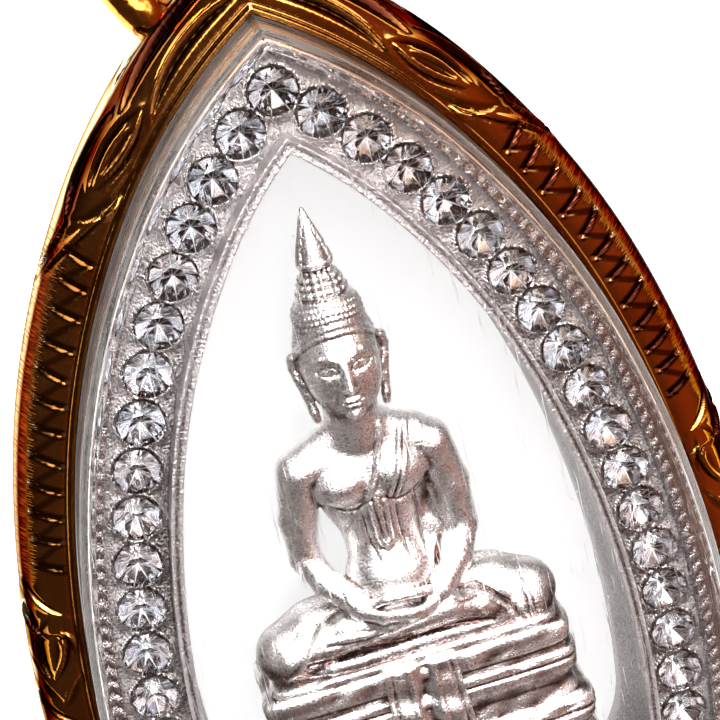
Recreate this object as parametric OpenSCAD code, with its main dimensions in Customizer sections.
// Leaf-shaped amulet pendant: a gold case with a hanging hoop holds two clear covers, and
// between them a silver stone frame, its round stones and a small cast seated figure.
// The pendant lies on its back: +Z is its front, +Y points to the hoop.

/* [Stone line] */
// Angle of the stone line at the point, from the cross axis
apex_angle = 54; // [52:1:56]
// Radius of the stone line next to the point
shoulder_r = 20.3; // [19.5:0.1:21]
// Angle where the shoulder arc ends
shoulder_end = 36.5; // [36:0.5:38]
// Radius of the stone line down the flanks
flank_r = 31.8; // [30:0.2:33]
// Angle where the flank arc ends
flank_end = 17.5; // [16:0.5:19]
// Radius of the stone line along the sides
side_r = 47.2; // [45:0.2:49]
// Angle where the side arc ends
side_end = -5.5; // [-7:0.5:-4]
// Radius of the stone line at the lower corners
corner_r = 7; // [6.6:0.1:7.6]
// Angle where the corner arc ends
corner_end = -62; // [-64:1:-58]

/* [Stones] */
// Diameter of one stone
stone_d = 1.98; // [1.9:0.01:1.98]
// Stones from the point to the bottom, along one side
stones_per_side = 24; // [22:1:24]
// Height of the girdle above the back of the pendant
girdle_z = 5.3; // [5.25:0.05:5.4]
// Depth of a stone below its girdle
pavilion_h = 0.8; // [0.7:0.05:0.85]
// Height of a stone above its girdle
crown_h = 0.45; // [0.35:0.05:0.5]

/* [Silver frame] */
// Height of the frame's floor above the back of the pendant
floor_z = 5; // [4.9:0.05:5]
// Thickness of the floor
floor_t = 1.1; // [1:0.05:1.3]
// Distance from the stone line to the outer face of either rim
rim_reach = 1.83; // [1.75:0.01:1.83]
// Width of a rim
rim_w = 0.5; // [0.4:0.05:0.55]
// Top of the inner rim
inner_rim_top = 6.2; // [6:0.1:6.5]
// Top of the outer rim
outer_rim_top = 5.55; // [5.4:0.05:5.7]

/* [Clear covers] */
// Thickness of the closed case from back to front
cover_total = 7.7; // [7.6:0.1:8.2]
// Thickness of the clear plates
cover_t = 0.65; // [0.5:0.05:0.65]
// Distance from the stone line to the covers' outer wall
cover_out = 2.4; // [2.4:0.01:2.45]
// Thickness of the covers' wall
cover_wall = 0.5; // [0.45:0.01:0.5]
// Bevel round the front plate
cover_bevel = 0.6; // [0.4:0.1:0.8]

/* [Gold case] */
// Distance from the stone line to the outer edge of the gold band
band_out = 4.95; // [4.8:0.05:5.2]
// Radius of the band's rounded section
band_r = 1.9; // [1.8:0.05:1.95]
// Height of the band's middle above the back of the pendant
band_z = 3; // [2.95:0.05:3.05]
// Radius of the hoop, to the middle of its wire
hoop_r = 5.15; // [5:0.05:5.6]
// Thickness of the hoop's wire
hoop_wire = 1.6; // [1.4:0.1:1.8]
// Height of the hoop's centre above the stone at the point
hoop_rise = 7.1; // [6.9:0.1:7.4]

/* [Figure] */
// Height of the figure with its throne
figure_h = 31; // [30:0.1:31]

/* [Hidden] */
$fn = 64;

gap = 0.06;             // clearance between neighbouring pieces
lip_w = 0.35;           // raised lip along the band's inner edge
lip_h = 0.16;
flange_w = 0.35;        // flange of the covers that the band holds
flange_h = 0.6;
seat_d = 1.6;           // drilled seat under a stone
seat_h = 0.75;
hoop_open = 52;         // the hoop's wire ends this far below its cross axis
table_share = 0.6;      // table diameter as a share of the girdle's
sides = 8;              // facets round a stone
culet_share = 0.16;     // the blunt bottom of a stone as a share of the girdle's diameter
figure_drop = 3.85;     // from the centre of the lower corner arcs down to the throne's base
figure_rows_h = 31;     // height at which the figure's rows are written
arc_steps = [8, 8, 10, 12, 8];
band_steps = 10;        // flats round the band's face

function dir(a) = [cos(a), sin(a)];

// The stone line is a chain of tangent arcs. Each row holds its centre, its radius and its
// first and last angle. An arc's angle is also the direction of the line's outward normal.
c1 = -shoulder_r * dir(apex_angle);
p1 = c1 + shoulder_r * dir(shoulder_end);
c2 = p1 - flank_r * dir(shoulder_end);
p2 = c2 + flank_r * dir(flank_end);
c3 = p2 - side_r * dir(flank_end);
p3 = c3 + side_r * dir(side_end);
c4 = p3 - corner_r * dir(side_end);
p4 = c4 + corner_r * dir(corner_end);
bottom_r = p4.x / cos(corner_end);
c5 = p4 - bottom_r * dir(corner_end);
arcs = [
    [c1, shoulder_r, apex_angle, shoulder_end],
    [c2, flank_r, shoulder_end, flank_end],
    [c3, side_r, flank_end, side_end],
    [c4, corner_r, side_end, corner_end],
    [c5, bottom_r, corner_end, -90]
];
arc_lengths = [for (a = arcs) a[1] * (a[2] - a[3]) * PI / 180];
half_length = arc_lengths * [1, 1, 1, 1, 1];

// Point of the line at a length s from the apex
function on_line(s, i = 0) =
    s <= arc_lengths[i] || i == len(arcs) - 1
        ? arcs[i][0] + arcs[i][1] * dir(arcs[i][2] - s / arcs[i][1] * 180 / PI)
        : on_line(s - arc_lengths[i], i + 1);

top_y = hoop_rise + hoop_r + hoop_wire / 2;
bottom_y = c5.y - bottom_r - band_out;
shift_y = -(top_y + bottom_y) / 2;
figure_base = c4.y - figure_drop;

module placed() translate([0, shift_y, 0]) children();

// Outline at a distance d outside the line, from the apex down the left side and up the right
function outline(d) =
    let (
        right = [for (i = [0 : len(arcs) - 1])
            let (first = i == 0 ? acos(-c1.x / (shoulder_r + d)) : arcs[i][2])
            for (k = [0 : arc_steps[i] - 1])
                arcs[i][0] + (arcs[i][1] + d) * dir(first + (arcs[i][3] - first) * k / arc_steps[i])]
    )
    concat(
        [right[0]],
        [for (i = [1 : len(right) - 1]) [-right[i].x, right[i].y]],
        [[0, c5.y - bottom_r - d]],
        [for (i = [len(right) - 1 : -1 : 1]) right[i]]
    );

// Level slab inside the outline at a distance d, between two heights
module slab(d, z0, z1) translate([0, 0, z0]) linear_extrude(z1 - z0) polygon(outline(d));

// Closed ring with a section whose points are rows of distance and height
module swept_ring(section) {
    n = len(outline(0));
    m = len(section);
    points = [for (q = section) each [for (p = outline(q[0])) [p.x, p.y, q[1]]]];
    faces = [for (j = [0 : m - 1], i = [0 : n - 1])
        let (a = j * n + i, b = j * n + (i + 1) % n, c = ((j + 1) % m) * n + i,
            e = ((j + 1) % m) * n + (i + 1) % n)
        each [[a, b, c], [c, b, e]]];
    polyhedron(points, faces);
}

// Section of the gold band: its lip, its rounded face, and the groove for the covers
function band_section() =
    let (
        inner = cover_out + gap,
        middle = band_out - band_r,
        groove = flange_h + 2 * gap,
        first = acos((inner + lip_w - middle) / band_r),
        last = -acos((inner - middle) / band_r),
        top = band_z + band_r + lip_h
    )
    concat(
        [[inner, top], [inner + lip_w, top]],
        [for (k = [0 : band_steps])
            [middle, band_z] + band_r * dir(first + (last - first) * k / band_steps)],
        [[inner, band_z - groove], [inner + flange_w + gap, band_z - groove],
            [inner + flange_w + gap, band_z + groove], [inner, band_z + groove]]
    );

module hoop() {
    translate([0, hoop_rise, band_z]) rotate(-hoop_open)
        rotate_extrude(angle = 180 + 2 * hoop_open) translate([hoop_r, 0]) circle(hoop_wire / 2);
}

module gold_case() color("goldenrod") placed() {
    swept_ring(band_section());
    hoop();
}

// Clear cup: a plate, its wall and the flange that the band holds, from the split upwards
module cover(height, bevel) {
    wall_in = cover_out - cover_wall;
    difference() {
        union() {
            slab(cover_out, gap / 2, height - bevel);
            slab(cover_out + flange_w, gap / 2, flange_h);
            ring_solid([
                [for (p = outline(cover_out)) [p.x, p.y, height - bevel]],
                [for (p = outline(cover_out - bevel)) [p.x, p.y, height]]
            ]);
        }
        slab(wall_in, -1, height - cover_t);
    }
}

module front_cover() color([0.93, 0.96, 0.98, 0.3]) placed()
    translate([0, 0, band_z]) cover(cover_total - band_z, cover_bevel);

module back_cover() color([0.93, 0.96, 0.98, 0.3]) placed()
    translate([0, 0, band_z]) mirror([0, 0, 1]) cover(band_z, cover_bevel / 2);

// Places children on every stone's seat, round the whole line
module at_stones() {
    step = half_length / stones_per_side;
    for (k = [0 : stones_per_side]) translate(on_line(k * step)) children();
    for (k = [1 : stones_per_side - 1]) {
        p = on_line(k * step);
        translate([-p.x, p.y]) children();
    }
}

module silver_frame() color("silver") placed() difference() {
    union() {
        slab(rim_reach, floor_z - floor_t, outer_rim_top);
        slab(rim_w - rim_reach, cover_t + gap, inner_rim_top);
    }
    difference() {
        slab(rim_reach - rim_w, floor_z, floor_z + 3);
        slab(rim_w - rim_reach, floor_z - 1, floor_z + 4);
    }
    slab(-rim_reach, 0, 9);
    at_stones() translate([0, 0, floor_z - seat_h]) cylinder(h = seat_h + 1, d = seat_d, $fn = 24);
}

// Solid through level rings: each row of rings is a list of points at one height
module ring_solid(rings) {
    n = len(rings[0]);
    last = len(rings) - 1;
    sides_up = [for (j = [0 : last - 1], i = [0 : n - 1])
        let (a = j * n + i, b = j * n + (i + 1) % n) each [[a, a + n, b], [b, a + n, b + n]]];
    caps = [[for (i = [0 : n - 1]) i], [for (i = [n - 1 : -1 : 0]) last * n + i]];
    polyhedron([for (r = rings) each r], concat(sides_up, caps));
}

function round_ring(r, z) =
    [for (i = [0 : sides - 1]) let (a = (i + 0.5) * 360 / sides) [r * cos(a), r * sin(a), z]];

module stones() color("whitesmoke") placed() at_stones() ring_solid([
    round_ring(culet_share * stone_d / 2, girdle_z - pavilion_h),
    round_ring(stone_d / 2, girdle_z),
    round_ring(table_share * stone_d / 2, girdle_z + crown_h)
]);

// Level ring of the figure: a rounded rectangle of half width a and half depth b about z,
// squarer as the power p grows. The figure's height runs along Y.
function plan_ring(y, a, b, z, p, n) = [for (i = [0 : n - 1])
    let (t = i * 360 / n, c = cos(t), s = sin(t))
    [a * sign(c) * pow(abs(c), 2 / p), y, z - b * sign(s) * pow(abs(s), 2 / p)]];

module ball(p, size) translate(p) scale(size) sphere(1, $fn = 14);

// Limb through knots, each a row [x, y, z, radius]
module limb(knots) {
    for (i = [0 : len(knots) - 2]) hull()
        for (k = [knots[i], knots[i + 1]])
            translate([k[0], k[1], k[2]]) sphere(k[3], $fn = 14);
}

// Throne: rows of height, half width and half depth, from the plinth up to the seat
throne_rows = [
    [0, 7.4, 2.7], [1.1, 7.4, 2.7], [1.3, 7, 2.5], [1.9, 7, 2.5], [2.1, 7.5, 2.75],
    [3.2, 7.5, 2.75], [3.7, 6.9, 2.5], [4.4, 6.7, 2.4], [5, 7.3, 2.65], [6, 7.3, 2.65],
    [6.3, 6.8, 2.45], [7.1, 6.5, 2.35], [7.6, 6.85, 2.5], [8.5, 6.85, 2.5], [8.7, 6.6, 2.4],
    [9, 6.8, 2.5], [9.85, 6.8, 2.5], [10.35, 6.3, 2.3]
];
throne_z = 3.72;

// Torso: rows of height, half width, half depth and middle depth
torso_rows = [
    [10, 3.1, 2, 3.6], [12, 2.7, 1.8, 3.7], [13.5, 2, 1.45, 3.9], [15, 1.7, 1.3, 4],
    [16.5, 2.05, 1.35, 4.1], [18, 2.7, 1.45, 4.15], [19.2, 2.95, 1.35, 4.1],
    [20.1, 2.5, 1.15, 4.1], [20.8, 1.5, 0.95, 4.15], [21.3, 1, 0.8, 4.2]
];

// Finial: rows of height and radius, through the rings up to the tip
finial_rows = [
    [26, 1.7], [26.7, 1.3], [27, 1.25], [27.1, 1.05], [27.5, 1.05], [27.6, 0.9], [28, 0.9],
    [28.1, 0.72], [28.4, 0.72], [28.5, 0.85], [28.8, 0.8], [31, 0.07]
];

module head() {
    head_z = 4.55;
    ball([0, 24, head_z], [1.72, 2.3, 1.85]);
    ball([0, 24.9, head_z - 0.2], [2, 1.85, 1.85]);
    ball([0, 22.5, head_z + 0.5], [1.15, 0.8, 1.15]);
    ring_solid([for (r = finial_rows) plan_ring(r[0], r[1], r[1], head_z - 0.1, 2, 16)]);
    limb([[0, 24.4, head_z + 1.75, 0.18], [0, 23.35, head_z + 1.95, 0.3]]);
    ball([0, 22.65, head_z + 1.65], [0.6, 0.14, 0.2]);
    for (side = [-1, 1]) {
        ball([side * 0.75, 24.05, head_z + 1.55], [0.55, 0.2, 0.25]);
        limb([[side * 1.85, 24.7, head_z, 0.34], [side * 1.95, 22.3, head_z + 0.1, 0.27]]);
    }
    limb([[0, 22.6, head_z - 0.15, 1], [0, 20.6, head_z - 0.4, 1.05]]);
}

module arms() {
    for (side = [-1, 1])
        limb([
            [side * 2.85, 19.25, 4.1, 0.98], [side * 3.4, 17, 4, 0.8],
            [side * 3.48, 15.3, 4, 0.7], [side * 1.4, 12.9, 5.6, 0.55]
        ]);
    limb([[-1.4, 12.9, 5.6, 0.5], [0.9, 12.5, 6.05, 0.42]]);
    limb([[1.4, 12.9, 5.6, 0.5], [-0.9, 12.1, 5.95, 0.42]]);
}

module legs() {
    limb([
        [-1.8, 11.8, 3.5, 1.7], [-5.2, 11.6, 4.3, 1.5],
        [1.8, 11.2, 5.5, 0.9], [3.6, 11.6, 5.4, 0.6]
    ]);
    limb([[1.8, 11.9, 3.5, 1.7], [5.4, 11.4, 4.3, 1.5]]);
    limb([[5.4, 11.1, 4.6, 1.3], [-1.8, 10.5, 5.5, 0.75]]);
}

module robe() {
    limb([
        [2.3, 20.1, 4.35, 0.55], [1.6, 18.9, 4.95, 0.45],
        [0.9, 17.2, 5.05, 0.35], [0.55, 15.2, 4.95, 0.35]
    ]);
    hull() {
        ball([2.2, 18.6, 4], [0.5, 0.5, 0.5]);
        ball([3.1, 15.4, 3.9], [0.4, 0.5, 0.4]);
        ball([1.6, 13, 3.9], [0.5, 0.5, 0.5]);
    }
    for (side = [-1, 1]) ball([side * 1.25, 18.3, 4.85], [1.35, 1, 0.75]);
}

module throne() {
    ring_solid([for (r = throne_rows) plan_ring(r[0], r[1], r[2], throne_z, 7, 28)]);
    translate([0, 0, throne_z]) linear_extrude(3)
        polygon([[-2.15, 0.55], [2.15, 0.55], [1.63, 9.62], [-1.63, 9.62]]);
}

module buddha_figure() color("lightgray") placed()
    translate([0, figure_base, 0]) scale(figure_h / figure_rows_h) {
        throne();
        legs();
        ring_solid([for (r = torso_rows) plan_ring(r[0], r[1], r[2], r[3], 2.3, 20)]);
        arms();
        robe();
        head();
    }

gold_case();
front_cover();
back_cover();
silver_frame();
stones();
buddha_figure();
